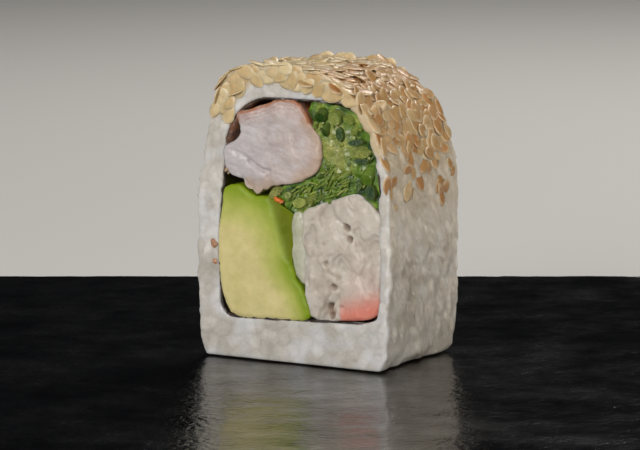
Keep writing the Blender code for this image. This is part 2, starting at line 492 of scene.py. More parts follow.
def ridge(distance, width):
    """1 at no distance, falling away as a bell does, to almost nothing at twice the width."""
    return math.exp(-((distance / width) ** 2))


def level_of(x, points):
    """The height of an open line through the points, at x."""
    for (x0, z0), (x1, z1) in zip(points, points[1:]):
        if x <= x1:
            break
    return z0 + (z1 - z0) * max(0.0, min(1.0, (x - x0) / (x1 - x0)))


def finish_piece(name, bm, material, nodes=(), colours=None, crease=None):
    """Makes the bmesh a piece at its true place. colours gives each vertex a red, green and blue.
    Edges sharper than crease, in degrees, stay crisp."""
    bmesh.ops.transform(bm, matrix=TO_WORLD, verts=bm.verts[:])
    mesh = as_mesh(name, bm)
    mesh.shade_smooth()
    if crease:
        mesh.set_sharp_from_angle(angle=math.radians(crease))
    if colours:
        layer = mesh.attributes.new("tone", "FLOAT_COLOR", "POINT")
        layer.data.foreach_set("color", [c for colour in colours for c in (*colour, 1.0)])
    mesh.materials.append(material)
    piece = new_object(name, mesh)
    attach(piece, "root")
    if nodes:
        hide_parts(*nodes)
    print(name, len(mesh.polygons), "faces")


# %% [markdown]
# The rice wall
#
# Sushi rice is short and plump, about 5 mm long, and sticky: pressed in the mat the grains sink into each
# other until only the tops of the outer ones stand up. So the wall is a core a little inside the CAD
# solid, with a grain laid at every place where one shows, half sunk. Both are sliced flat where the
# knife went, and one remesh melts them into a single sticky skin. Two things pull the shape out of true:
# the roll's weight presses the foot's corners out, and the rice is heaped higher at the crown's left.

# %% Where the outer grains lie
GRAIN_SPACING = 1.95
dice = random.Random(11)
nori_tree = BVHTree.FromBMesh(cad_shape("nori"))
outer_verts = {v for v in rice_solid.verts if nori_tree.find_nearest(v.co)[3] > 0.5}


def is_side(face):
    """Whether a face of the rice is on the roll's outside and doesn't look down."""
    outside = all(v in outer_verts for v in face.verts)
    return outside and abs(face.normal.y) < 0.5 and face.normal.z > -0.3


side_faces = [f for f in rice_solid.faces if is_side(f)]
cut_faces = [f for f in rice_solid.faces if is_cut(f)]
grain_sites = scattered(side_faces, GRAIN_SPACING, 9000, dice)
print(len(grain_sites), "grains on the outside")

# %% How the wall strays from the CAD solid
CORE_INSET = 0.30
NORI_OVERLAP = 0.40
CROWN_HEAP = 0.7
FOOT_SPREAD_LEFT = 1.6
FOOT_SPREAD_RIGHT = 2.6
FOOT_SPREAD_TOP = 3.2


def nori_buried(x, z):
    """How far rice and filling close over the nori's cut edge: only low on the right, but for three gaps."""
    gaps = max(ridge(z - middle, 0.9) for middle in (22.3, 12.8, 8.2))
    return eased(x, 12.6, 14.2) * eased(25.6 - z, 0, 1.5) * (1 - gaps)


def heaped(x, z):
    """How much higher the crown stands at its left and middle, where seeds are heaped."""
    return CROWN_HEAP * eased(z, 43.4, 46.0) * (1 - eased(x, 3, 10))


def pressed_out(x, z):
    """How far the foot's rounded corners are pressed out sideways, by the board."""
    widest = -FOOT_SPREAD_LEFT if x < 0 else FOOT_SPREAD_RIGHT
    return widest * max(0.0, 1 - z / FOOT_SPREAD_TOP) ** 1.4 * eased(abs(x), 10, 14)


wall = rice_solid.copy()
wall.verts.ensure_lookup_table()
rice_solid.verts.ensure_lookup_table()
for v in wall.verts:
    if rice_solid.verts[v.index] in outer_verts:
        v.co.x += pressed_out(v.co.x, v.co.z) * (0.85 + 0.5 * noise.noise(v.co / 3))
        inwards = -Vector((v.normal.x, 0, v.normal.z)).normalized()
        v.co += inwards * CORE_INSET * eased(v.co.z, 0, 4)
        if v.co.z < 0.6:
            v.co.z = BOARD_TOP + 0.1
    else:
        overlap = NORI_OVERLAP + 0.3 * nori_buried(v.co.x, v.co.z)
        v.co += Vector((v.normal.x, 0, v.normal.z)).normalized() * overlap

# %% Grains over the core, sliced and melted together
GRAIN_SIZE = (2.3, 2.1, 5.2)
PRESSED_SLANT = 0.53  # the grains on both sides lean this much from upright, in radians
BACKWARDS = Vector((0, 1, 0))
VOXEL = 0.32
SMOOTHING_ROUNDS = 5


def slice_flat(bm, place, outwards):
    """Cuts off what lies past a plane, and closes the cut."""
    parts = bm.verts[:] + bm.edges[:] + bm.faces[:]
    cut = bmesh.ops.bisect_plane(
        bm, geom=parts, dist=1e-4, plane_co=place, plane_no=outwards, clear_outer=True
    )
    rim = [g for g in cut["geom_cut"] if isinstance(g, bmesh.types.BMEdge) and g.is_boundary]
    bmesh.ops.holes_fill(bm, edges=rim, sides=0)


beads = []
for number, (spot, normal) in enumerate(grain_sites):
    across = BACKWARDS.cross(normal).normalized()
    turn = dice.uniform(0, math.pi)
    if abs(normal.z) < 0.6:
        turn = math.copysign(PRESSED_SLANT, normal.x) + dice.gauss(0, 0.4)
    along = across * math.cos(turn) + BACKWARDS * math.sin(turn) + normal * dice.uniform(-0.18, 0.18)
    size = [s * dice.uniform(0.88, 1.12) for s in GRAIN_SIZE]
    centre = spot - normal * (size[1] / 2 + dice.uniform(-0.04, 0.20))
    bmesh.ops.create_icosphere(wall, subdivisions=2, radius=0.5, matrix=lying(centre, along, normal, size))
    for step in (-1.5, -0.5, 0.5, 1.5):
        beads.append((centre + along.normalized() * step, number))

slice_flat(wall, (0, CUT, 0), (0, 1, 0))
slice_flat(wall, (0, -CUT, 0), (0, -1, 0))
slice_flat(wall, (0, 0, BOARD_TOP + 0.08), (0, 0, -1))
wall = remeshed(wall, VOXEL, SMOOTHING_ROUNDS)
for v in wall.verts:
    v.co.z += heaped(v.co.x, v.co.z)
print("rice skin:", len(wall.faces), "faces")

# %% [markdown]
# Where one grain ends and the next begins
#
# After the remesh nothing tells the grains apart. Each vertex now looks for the two nearest grains. Where
# both are equally near there's a seam. A cooked grain is glassy outside and white along its middle, so a
# vertex over the middle of a grain is whiter. The crown's rice also takes on the gold of the sesame that
# was pressed into it, down to a line that runs across each cut face, and further down the right side.

# %% Seeds cover the rice down to here
FACE_SEED_LINE = (
    # x, z
    (-17.5, 38.5),
    (-12, 40.5),
    (-9.5, 43.4),
    (-7, 45.6),
    (-3, 45.9),
    (-0.5, 45.0),
    (5.5, 44.3),
    (9.5, 42.0),
    (15.5, 35.0),
)


def seed_chance(x, z):
    """How thickly seeds cover the outside: fully over the crown, thinning out down both sides."""
    if x < 0:
        return 0.25 * eased(z, 36.5, 39) + 0.75 * eased(z, 39, 44)
    return 0.12 * eased(z, 24.5, 27) + 0.38 * eased(z, 28.5, 34) + 0.50 * eased(z, 33.5, 41)


def face_seed_chance(x, z):
    """How thickly seeds cover the top of a cut face."""
    return eased(z - level_of(x, FACE_SEED_LINE), -1.4, 0.4)


# %% Tones, seams and grooves
CUT_GRAIN_SPACING = 1.9
number = len(grain_sites)
for spot, normal in scattered(cut_faces, CUT_GRAIN_SPACING, 4000, dice):
    along = Vector((dice.uniform(-1, 1), dice.uniform(-0.7, 0.7), dice.uniform(-1, 1))).normalized()
    for step in (-1.2, -0.4, 0.4, 1.2):
        beads.append((spot - normal * 0.7 + along * step, number))
    number += 1
grain_tree = kdtree.KDTree(len(beads))
for i, (spot, _) in enumerate(beads):
    grain_tree.insert(spot, i)
grain_tree.balance()
grain_tones = [dice.random() for _ in range(number)]

rice_colours = []
for v in wall.verts:
    near = grain_tree.find_n(v.co, 10)
    middle, bead, nearest = near[0]
    own = beads[bead][1]
    other = next((far for _, i, far in near if beads[i][1] != own), nearest + 1)
    seam = eased(other - nearest, 0.0, 0.5)
    offset = v.co - middle
    aside = (offset - v.normal * offset.dot(v.normal)).length
    on_face = abs(v.co.y) > CUT - 0.4
    core = 1 - eased(aside, 0.2, 0.85)
    white = grain_tones[own] * (0.55 + 0.45 * core if on_face else 0.4 + 0.6 * core)
    gold = face_seed_chance(v.co.x, v.co.z) if on_face else seed_chance(v.co.x, v.co.z)
    if v.co.x > 0 and not on_face:
        gold = max(gold, 0.4 * eased(v.co.z, 12, 32))
    rice_colours.append((white, seam, gold))
    unevenness = noise.noise(v.co / 3.1) * 0.13 + noise.noise(v.co / 0.9) * 0.035
    if on_face:
        v.co.y -= math.copysign(0.05 * (1 - seam) + 0.08 + unevenness, v.co.y)
    elif v.normal.z > -0.8:
        v.co += v.normal * unevenness
wall.normal_update()
rice_surface = BVHTree.FromBMesh(wall)
print(number, "grains in all")

# %% [markdown]
# The rice's finish
#
# Wet rice is milky, so light sinks into it. Its colour drifts between glassy and white, with pearly blue
# patches, and it is painted darker along the seams between grains, as shade. On the sides slanting white
# streaks are painted highlights, where the edges of grains catch the light, and the tone is a little warmer.

# %% Rice finish
CLEAR_RICE = (0.49, 0.46, 0.41)
WHITE_RICE = (0.87, 0.85, 0.82)
PEARL_RICE = (0.76, 0.78, 0.83)
HIGHLIGHT_STREAK_RICE = (0.92, 0.90, 0.87)
SEAM_SHADE_RICE = (0.36, 0.33, 0.28)
GOLD_RICE = (0.66, 0.49, 0.26)
SIDE_WARMTH = (0.98, 0.935, 0.86)
rice_finish, tree, shader, place = new_food(
    "rice", 0.8, (1.0, 0.92, 0.84), 1.8, IOR=1.42, Coat_Weight=0.5, Coat_Roughness=0.10
)
white, seam, gold = attribute(tree, "tone")
clouds = use_group(tree, mottle_group, Place=place, Patches_Per_mm=0.18, Dark=CLEAR_RICE, Light=WHITE_RICE)
from_middle = arithmetic(tree, "ABSOLUTE", coordinate(tree, place, "Y"), 0.0)
on_side = spread(tree, from_middle, CUT - 1.2, CUT - 0.5, 1.0, 0.15)
# Painted highlights: slanting pale streaks on the sides, where the edges of grains catch the light.
slanted = drawn_out(tree, place, (PRESSED_SLANT, 0, 0), (0.5, 0.5, 2.6))
streaks = spread(tree, cloudy(tree, slanted, 0.9, 3.0, 0.6), 0.56, 0.68)
streaks = times(tree, times(tree, streaks, on_side), spread(tree, clouds["Mask"], 0.25, 0.65, 0.15))
pearl = spread(tree, cloudy(tree, place, 0.16), 0.46, 0.62, 0.0, 0.5)
body = mix(tree, white, CLEAR_RICE, WHITE_RICE)
body = mix(tree, 0.42, body, clouds["Color"])
body = mix(tree, pearl, body, PEARL_RICE)
body = mix(tree, streaks, body, HIGHLIGHT_STREAK_RICE)
# Painted shade: the rice is darker along the seams where two grains meet, as in the groove between them.
body = mix(tree, times(tree, arithmetic(tree, "SUBTRACT", 1.0, seam), 0.12), body, SEAM_SHADE_RICE)
body = mix(tree, on_side, body, tinted(tree, body, SIDE_WARMTH))
body = mix(tree, times(tree, gold, 0.8), body, GOLD_RICE)
tree.links.new(spread(tree, clouds["Mask"], 0.0, 1.0, 0.24, 0.38), shader.inputs["Roughness"])
dress(tree, shader, place, body, 1.5, 0.6)
finish_piece("rice_grains", wall, rice_finish, ["rice"], rice_colours)

# %% [markdown]
# Toasted sesame
#
# Sesame seeds are flat teardrops about 3 mm long. The crown was pressed into a tray of them, so they lie
# flat and half sunk, overlap like scales, and thin out down both sides. A seed has only a few dozen
# faces, because it's repeated hundreds of times, and three differently bent seeds are enough to look
# like hundreds. Each is laid on the rice skin itself, found by casting a ray.

# %% Three seeds to lay
SEED_LENGTH, SEED_WIDTH, SEED_THICKNESS = 3.5, 2.45, 0.38
SEED_BENDS = ((0.1, 0.1), (-0.2, 0.1), (-0.1, -0.25))


def seed_shape(bend, cup):
    """A unit seed, its point along z and its flat side facing y, bent along and across."""
    bm = bmesh.new()
    bmesh.ops.create_uvsphere(bm, u_segments=10, v_segments=7, radius=0.5)
    for v in bm.verts:
        share = v.co.z + 0.5
        v.co.x *= 1.16 - 0.50 * share**1.6
        v.co.y += bend * (4 * v.co.z**2 - 0.4) + cup * 4 * v.co.x**2
    return as_mesh("seed", bm)


def seed_rim(shape):
    """For each vertex, 0 in the middle of a flat side and 1 all round the thin rim."""
    return [min(1.0, (2 * math.hypot(v.co.x, v.co.z)) ** 1.5) for v in shape.vertices]


seed_shapes = [seed_shape(*bends) for bends in SEED_BENDS]
SEEDS_TO_LAY = [(shape, seed_rim(shape)) for shape in seed_shapes]


def lay_seed(spot, along, out, scale, toast_and_shade):
    """Stamps a seed and gives it its colour numbers."""
    shape, rims = dice.choice(SEEDS_TO_LAY)
    size = (SEED_WIDTH * scale * dice.uniform(0.9, 1.1), SEED_THICKNESS, SEED_LENGTH * scale)
    stamp(seeds, shape, lying(spot, along, out, size))
    shade = dice.random()
    seed_colours.extend((shade, toast_and_shade, rim) for rim in rims)


# %% Seeds on the crown
SEED_SPACING = 1.15
SEED_CROWD = 1.6  # seeds closer than this lift each other
dice = random.Random(23)
seeds = bmesh.new()
seed_colours = []
laid = []
sites = scattered(side_faces, SEED_SPACING, 30000, dice)
dice.shuffle(sites)
for spot, normal in sites:
    if dice.random() > seed_chance(spot.x, spot.z):
        continue
    hit, out, _, _ = rice_surface.ray_cast(spot + normal * 3, -normal, 8)
    if hit is None:
        continue
    crowd = sum((hit - other).length < SEED_CROWD for other in laid)
    laid.append(hit)
    out = (normal + 0.25 * out).normalized()
    across = BACKWARDS.cross(out).normalized()
    at_edge = abs(spot.y) > CUT - 1.4
    turn = dice.choice((0, math.pi)) + dice.gauss(0, 0.3) if at_edge else dice.uniform(0, 2 * math.pi)
    along = across * math.cos(turn) + BACKWARDS * math.sin(turn)
    loose = 0.07 + 0.08 * eased(spot.x, 2, 8)
    out = (out + along * dice.uniform(-loose, loose) + across * dice.uniform(-loose, loose)).normalized()
    along = (along - out * along.dot(out)).normalized()
    height = 0.02 + 0.06 * min(crowd, 4) + dice.uniform(-0.04, 0.04)
    height -= dice.uniform(0.05, 0.24) * eased(43 - spot.z, 0, 9 if spot.x > 0 else 4)
    if dice.random() < 0.06:
        out = (out + along * dice.choice((-0.45, 0.45))).normalized()
        along = (along - out * along.dot(out)).normalized()
        height += 0.15
    # Seeds brown more towards the right side: partly toasted seeds, partly painted shade on the side turned
    # away from the key light.
    brown_share = 0.10 if spot.x > 4 else 0.02
    toast_and_shade = dice.uniform(0.6, 1.0) if dice.random() < brown_share else dice.random() ** 2 * 0.3
    toast_and_shade = max(toast_and_shade, dice.uniform(0.3, 0.95) * eased(spot.x, -1, 7))
    lay_seed(hit + normal * height, along, out, dice.uniform(0.86, 1.1), toast_and_shade)
print(len(laid), "seeds on the crown")

# %% Seeds pressed into the top of each cut face
CUT_SEED_SPACING = 1.0
rice_outside = outside_tree(rice_solid.copy())
pressed = 0
for spot, normal in scattered(cut_faces, CUT_SEED_SPACING, 9000, dice):
    if dice.random() > 0.92 * face_seed_chance(spot.x, spot.z) + 0.05 * eased(spot.z, 40, 43):
        continue
    heap = Vector((0, 0, heaped(spot.x, spot.z)))
    hit, _, _, _ = rice_surface.ray_cast(spot + heap + normal * 3, -normal, 8)
    if hit is None:
        continue
    _, outwards, _, depth = rice_outside.find_nearest(Vector((spot.x, 0, spot.z)))
    if depth < 0.45:
        continue
    turn = math.atan2(outwards.x, -outwards.z)
    turn += dice.gauss(0, 0.25) if depth < 1.8 else dice.uniform(0, math.pi)
    along = Vector((math.cos(turn), dice.uniform(-0.05, 0.05), math.sin(turn)))
    out = (normal + Vector((dice.uniform(-0.08, 0.08), 0, dice.uniform(-0.08, 0.08)))).normalized()
    bed = hit + normal * dice.uniform(-0.08, 0.10)
    lay_seed(bed, along, out, dice.uniform(0.85, 1.1), dice.random() ** 2 * 0.3)
    pressed += 1
print(pressed, "seeds in the cut faces")

# %% Sesame finish
DARK_SEED, MID_SEED, LIGHT_SEED = (0.57, 0.40, 0.18), (0.66, 0.50, 0.26), (0.76, 0.63, 0.39)
TOAST_AND_SHADE_SEED = (0.45, 0.205, 0.058)
SEED_RIM_HIGHLIGHT = (0.86, 0.76, 0.54)
sesame_finish, tree, shader, place = new_food(
    "sesame", 0.2, (1.0, 0.75, 0.45), 0.4, Roughness=0.42, IOR=1.42, Coat_Weight=0.25, Coat_Roughness=0.14
)
shade, toast_and_shade, rim = attribute(tree, "tone")
body = ramp(tree, shade, [(0.0, DARK_SEED), (0.5, MID_SEED), (1.0, LIGHT_SEED)])
# Toasted brown, which towards the right side of the crown is also painted shade.
body = mix(tree, toast_and_shade, body, TOAST_AND_SHADE_SEED)
# Painted highlight: the thin rim of every seed is lighter, as if lit through from behind.
body = mix(tree, spread(tree, rim, 0.55, 1.0, 0.0, 0.55), body, SEED_RIM_HIGHLIGHT)
body = tinted(tree, body, mottled(tree, place, 0.9, (0.82, 0.82, 0.80), (1.1, 1.1, 1.12)))
dress(tree, shader, place, body, 2.4, 0.3)
finish_piece("sesame_seeds", seeds, sesame_finish, (), seed_colours)

# %% [markdown]
# The nori
#
# The seaweed sheet is thinner than a coin and goes limp in the moist rice, so its cut edge is a wavering
# dark line that swells and thins. A copy of the CAD tube is divided finely, and slow noise pushes it
# about. Low on the right, rice and filling have closed over it, and its edge lies deeper there. Its
# inside is uneven. Where it shows past the prawn the sheet is shining brown, painted lighter than its own
# brown as painted light in that shaded hollow.

# %% Nori shape
NORI_MIDDLE = (1, 25)
NORI_HOLLOW = (-10.6, 37.4)  # where its inside shows past the prawn
sheet = cad_shape("nori")
bmesh.ops.subdivide_edges(sheet, edges=[e for e in sheet.edges if e.calc_length() > 5], cuts=15)
bmesh.ops.subdivide_edges(sheet, edges=[e for e in sheet.edges if e.calc_length() > 0.6], cuts=1)
colours = []
for v in sheet.verts:
    outwards = Vector((v.co.x - NORI_MIDDLE[0], 0, v.co.z - NORI_MIDDLE[1])).normalized()
    flat = v.co.copy()
    wave = noise.noise(flat / 2.6) * 0.16 + noise.noise(flat / 1.0) * 0.12
    inside = max(0.0, -v.normal.dot(outwards))
    hollow = ridge(math.hypot(flat.x - NORI_HOLLOW[0], flat.z - NORI_HOLLOW[1]), 4.5)
    wave -= inside * 0.9 * hollow
    colours.append((hollow, 0.0, 0.0))
    thick = v.normal.dot(outwards) * (noise.noise(flat / 1.7 + Vector((9, 0, 0))) * 0.16 - 0.02)
    v.co += outwards * (wave + thick)
    if abs(flat.y) > CUT - 1:
        ragged = noise.noise(flat / 0.9) * 0.3 - 0.05 - 1.3 * nori_buried(flat.x, flat.z)
        v.co.y += ragged * math.copysign(1, v.co.y)

# %% Nori finish
nori_finish, tree, shader = new_material("nori", Roughness=0.34, Coat_Weight=0.5, Coat_Roughness=0.18)
place = place_in_mm(tree, FOOT_HEIGHT / MM, ROLL_TURN)
hollow, _, _ = attribute(tree, "tone")
outer = mottled(tree, place, 0.7, (0.009, 0.007, 0.006), (0.045, 0.022, 0.014))
# Painted light: near the hollow past the prawn the sheet is a lighter brown, lit colour where shade falls.
inside_with_painted_light = mottled(tree, place, 0.7, (0.030, 0.016, 0.010), (0.26, 0.105, 0.045))
dress(tree, shader, place, mix(tree, hollow, outer, inside_with_painted_light), 2.5, 1.0)
finish_piece("nori_sheet", sheet, nori_finish, ["nori"], colours, crease=50)

# %% [markdown]
# A filling's body
#
# All the fillings start alike. A copy of the CAD solid is remeshed into small even faces, so that it can
# be carved. Then every vertex is moved by what that filling needs, and it also gets numbers to colour it
# by. The carving is written for the front face and used on the back one too, since the fillings run
# right through.

# %% Carving helper


def carved(node, voxel, carve, rounds=1, lobes=(), middle=None, grow=0.0):
    """The node's solid in small faces, moved and coloured by carve(vertex, end, edge, near). end is how
    much the vertex belongs to a cut face, edge how far it lies inside the outline, and near the outline's
    nearest place. carve returns how far the vertex sinks in, how far it moves along its normal, and its
    colour numbers. Each lobe (x, z, radius, push) swells the section away from the middle, or pulls it
    in, around one place of its outline. The outline wavers and grows by grow, but not along the nori."""
    outline = outside_tree(cad_shape(node))
    bm = remeshed(cad_shape(node), voxel, rounds)
    reach = max(v.co.y for v in bm.verts)
    colours = []
    for v in bm.verts:
        x, z = v.co.x, v.co.z
        within = Vector((x, max(2 - reach, min(reach - 2, v.co.y)), z))
        near, towards_edge, _, edge = outline.find_nearest(within)
        at_nori, _, _, gap = nori_tree.find_nearest(within)
        if 0.05 < gap < 2.6:
            towards = Vector((at_nori.x - x, 0, at_nori.z - z)) / gap
            v.co += towards * (0.60 + 0.45 * nori_buried(x, z)) * (1 - eased(gap, 0.4, 2.6))
        waver = grow + 0.22 * noise.noise(Vector((x, v.co.y / 5, z)) / 1.5)
        v.co += towards_edge * waver * (1 - eased(edge, 0, 1.2)) * eased(gap, 0.8, 1.6)
        if abs(v.normal.y) < 0.5:
            v.co += v.normal * 0.12
        for lobe_x, lobe_z, radius, push in lobes:
            share = ridge(math.hypot(x - lobe_x, z - lobe_z), radius)
            if share > 0.01:
                v.co += Vector((x - middle[0], 0, z - middle[1])).normalized() * push * share
        end = eased(abs(v.co.y), reach - 1.2, reach - 0.3) * eased(abs(v.normal.y), 0.2, 0.7)
        sink, swell, colour = carve(v, end, edge, near)
        limit = reach - sink
        if abs(v.co.y) > limit:
            v.co.y = math.copysign(limit + 0.06 * (abs(v.co.y) - limit), v.co.y)
        v.co += v.normal * swell
        colours.append(colour)
    bm.normal_update()
    return bm, colours


def waves(v, size, run=1):
    """Slow noise of about a size in millimetres, drawn out by run into the roll."""
    return noise.noise(Vector((v.co.x, v.co.y / run, v.co.z)) / size)


def dent(v, x, z, radius, depth):
    """The depth of a round hollow in the cut face, centred at x and z."""
    far = math.hypot(v.co.x - x, v.co.z - z) / radius
    return depth * (1 - far * far) ** 2 if far < 1 else 0.0


# %% [markdown]
# The prawn
#
# A cooked prawn cut across is bluish pink, white and slightly glassy, with pale wisps along the muscle.
# Along its back runs a thin orange skin with finer lines under it. Its muscle curls into lobes, and a
# crease runs in where two of them meet. The distance from the back is kept for each vertex, and the
# finish draws the fine lines from it.

# %% Prawn shape
PRAWN_MIDDLE = (-4.0, 35.0)
PRAWN_LOBES = (
    # x, z, radius, push
    (-11.6, 34.4, 1.3, 1.0),
    (-10.6, 36.6, 1.0, -0.3),
    (-9.6, 39.0, 1.6, 0.7),
    (-6.8, 40.6, 2.2, 0.8),
    (-3.0, 41.8, 2.2, 0.3),
    (-10.9, 31.2, 1.6, 0.8),
    (-9.6, 29.0, 0.7, -0.3),
    (-8.6, 28.2, 0.9, 0.6),
    (-7.5, 27.7, 0.4, -0.25),
    (-6.6, 27.4, 0.9, 0.55),
    (-5.5, 27.8, 0.45, -0.35),
    (-4.6, 28.0, 0.7, 0.35),
    (-3.7, 28.2, 0.4, -0.25),
    (-2.8, 28.4, 0.7, 0.35),
    (0.6, 29.4, 2.2, 0.35),
    (4.4, 31.4, 2.0, 0.35),
    (5.4, 36.4, 2.6, 0.4),
)
PRAWN_CREASE = ((-8.0, 32.3), (-6.8, 31.5), (-5.2, 30.9), (-4.3, 30.8), (-4.4, 30.0))
PRAWN_NOTCH = ((-11.6, 34.0), (-9.6, 33.4), (-8.6, 32.9))
PRAWN_LOBE_LINE = ((-9.4, 29.4), (-8.5, 28.4), (-7.6, 28.0))


def carve_prawn(v, end, edge, near):
    x, z = v.co.x, v.co.z
    back = edge + 4 * eased(38.4 - near.z, 0, 1.6) + 4 * eased(near.x - 3.2, 0, 0.8)
    warm = edge + 4 * eased(1.0 - near.x, 0, 3) * eased(near.z - 28.6, 0, 1.5) + 4 * eased(near.z - 40, 0, 1)
    sink = 0.8 * ridge(distance_to_line(x, z, PRAWN_CREASE), 0.35)
    sink += 0.3 * ridge(distance_to_line(x, z, PRAWN_NOTCH), 0.4)
    sink += 0.45 * ridge(distance_to_line(x, z, PRAWN_LOBE_LINE), 0.35)
    sink += 0.2 * ridge(back, 0.7) + 0.35 * eased(30.6 - z, 0, 3) + 0.15 + 0.5 * waves(v, 3.2, 4)
    layers = math.sin(back * 9 + 5 * noise.noise(Vector((x, 0, z)) / 2.5)) * 0.03 * ridge(back, 2.6)
    return sink, 0.10 * waves(v, 1.1) + layers * end, (min(back / 4, 1), min(warm / 4, 1), 0.0)


prawn, colours = carved("prawn", 0.22, carve_prawn, 1, PRAWN_LOBES, PRAWN_MIDDLE)

# %% Prawn finish
BLUISH_FLESH, WARM_FLESH, WISP_FLESH = (0.52, 0.50, 0.53), (0.60, 0.46, 0.40), (0.70, 0.66, 0.67)
PRAWN_EDGE = (0.50, 0.33, 0.20)
PRAWN_SKIN = (0.42, 0.15, 0.055)
SKIN_LINES = (
    # distance from the back as a share of 4 mm, strength of the skin's colour there
    (0.10, 1.0),
    (0.14, 0.65),
    (0.17, 0.20),
    (0.22, 0.50),
    (0.25, 0.10),
    (0.32, 0.32),
    (0.36, 0.04),
    (0.45, 0.15),
    (0.60, 0.0),
)
prawn_finish, tree, shader, place = new_food(
    "prawn", 0.5, (1.0, 0.75, 0.62), 1.6, Roughness=0.26, IOR=1.42
)
back, warm, _ = attribute(tree, "tone")
along_muscle = drawn_out(tree, place, (0, math.radians(20), 0), (2.4, 2.0, 0.7))
wisps = spread(tree, cloudy(tree, along_muscle, 1.1, 4.0, 0.65), 0.45, 0.68, 0.0, 0.6)
to_right = spread(tree, coordinate(tree, place, "X"), -10.0, 4.0)
flesh = mottled(tree, place, 0.3, (0.44, 0.37, 0.355), (0.66, 0.60, 0.59))
body = mix(tree, 0.5, flesh, mix(tree, to_right, BLUISH_FLESH, WARM_FLESH))
body = mix(tree, wisps, body, WISP_FLESH)
body = mix(tree, spread(tree, warm, 0.05, 0.5, 0.6, 0.0), body, PRAWN_EDGE)
unevenness = cloudy(tree, place, 0.7, 3.0)
from_back = arithmetic(tree, "ADD", back, times(tree, unevenness, 0.14))
skin = ramp(tree, from_back, [(share, (strength,) * 3) for share, strength in SKIN_LINES])
broken = spread(tree, unevenness, 0.35, 0.6, 0.6)
body = mix(tree, times(tree, skin, broken), body, PRAWN_SKIN)
dress(tree, shader, place, body, 1.6, 0.65)
finish_piece("prawn_flesh", prawn, prawn_finish, ["prawn"], colours)

# %% [markdown]
# The avocado
#
# A slice of avocado is green under its skin and butter yellow towards the stone. The skin side curves
# away at the upper right, where the knife left the round outside of the fruit. The colour depends on
# how far a place is from that skin, so each vertex measures it.

# %% Avocado shape
AVOCADO_SKIN = (
    (-13.0, 29.0),
    (-8.0, 28.6),
    (-2.6, 26.0),
    (-0.2, 21.0),
    (0.0, 15.6),
    (2.2, 12.2),
    (3.6, 7.4),
)
AVOCADO_BEVEL = (
    (-7.0, 30.5),
    (-4.6, 25.4),
    (-3.6, 22.4),
    (-2.9, 19.8),
    (-2.1, 17.1),
    (-0.3, 15.4),
    (3.0, 11.0),
)


def carve_avocado(v, end, edge, near):
    x, z = v.co.x, v.co.z
    bevel = 0.0
    for (x0, z0), (x1, z1) in zip(AVOCADO_BEVEL, AVOCADO_BEVEL[1:]):
        if z1 <= z <= z0:
            bevel = max(0.0, x - (x0 + (x1 - x0) * (z0 - z) / (z0 - z1)))
    sink = 0.05 + 0.8 * bevel**2 / (bevel + 1.2) + 0.2 * waves(v, 5, 5)
    depth = distance_to_line(x, z, AVOCADO_SKIN) / (4.4 + 0.30 * max(0.0, z - 8))
    return sink, 0.05 * waves(v, 1.2), (min(depth, 1.0), eased(bevel, 0.0, 1.5) * end, 0.0)


avocado, colours = carved("avocado", 0.26, carve_avocado)

# %% Avocado finish
AVOCADO_DEPTHS = (
    # share of the way from the skin to the stone, colour there
    (0.0, (0.22, 0.32, 0.006)),
    (0.15, (0.27, 0.38, 0.020)),
    (0.42, (0.48, 0.52, 0.11)),
    (0.75, (0.62, 0.595, 0.21)),
    (1.0, (0.73, 0.64, 0.30)),
)
AVOCADO_OUTSIDE = (0.17, 0.215, 0.0)
avocado_finish, tree, shader, place = new_food(
    "avocado", 0.2, (1.0, 0.9, 0.2), 0.9, Roughness=0.45, IOR=1.33
)
depth, bevel, _ = attribute(tree, "tone")
body = mix(tree, bevel, ramp(tree, depth, AVOCADO_DEPTHS), AVOCADO_OUTSIDE)
body = tinted(tree, body, mottled(tree, place, 0.35, (0.88, 0.90, 0.82), (1.06, 1.05, 1.1)))
dress(tree, shader, place, body, 2.4, 0.22)
finish_piece("avocado_slice", avocado, avocado_finish, ["avocado"], colours)

# %% [markdown]
# The pale strip
#
# Between the avocado and the crab stick stands a thin peeled strip, glassy and greenish white.

# %% Pale strip shape and finish


def carve_strip(v, end, edge, near):
    sink = 0.25 * waves(v, 2.4, 4) + 0.02 * (24 - v.co.z) - 0.1
    return sink, 0.35 * (1 - end) + 0.05 * waves(v, 0.9), (end, 0.0, 0.0)


strip, colours = carved("pale_strip", 0.2, carve_strip)
strip_finish, tree, shader, place = new_food(
    "pale_strip", 0.6, (0.95, 1.0, 0.8), 1.4, Roughness=0.26, IOR=1.40
)
body = mottled(tree, place, 0.5, (0.50, 0.51, 0.37), (0.66, 0.65, 0.54))
dress(tree, shader, place, body, 2.0, 0.25)
finish_piece("pale_strip_slice", strip, strip_finish, ["pale_strip"], colours)

# %% [markdown]
# The crab stick
#
# Crab stick is a sheet of white fish paste scored into fibres and rolled up. Cut across, it shows soft
# torn plates that overlap like petals, small hollows between them, and a coral dye along its outside.
# Slow noise cut into steps makes the plates. The larger hollows and folds are placed one by one. The
# hollows, and a spot by the deep ones near the foot, are painted brown as shade.

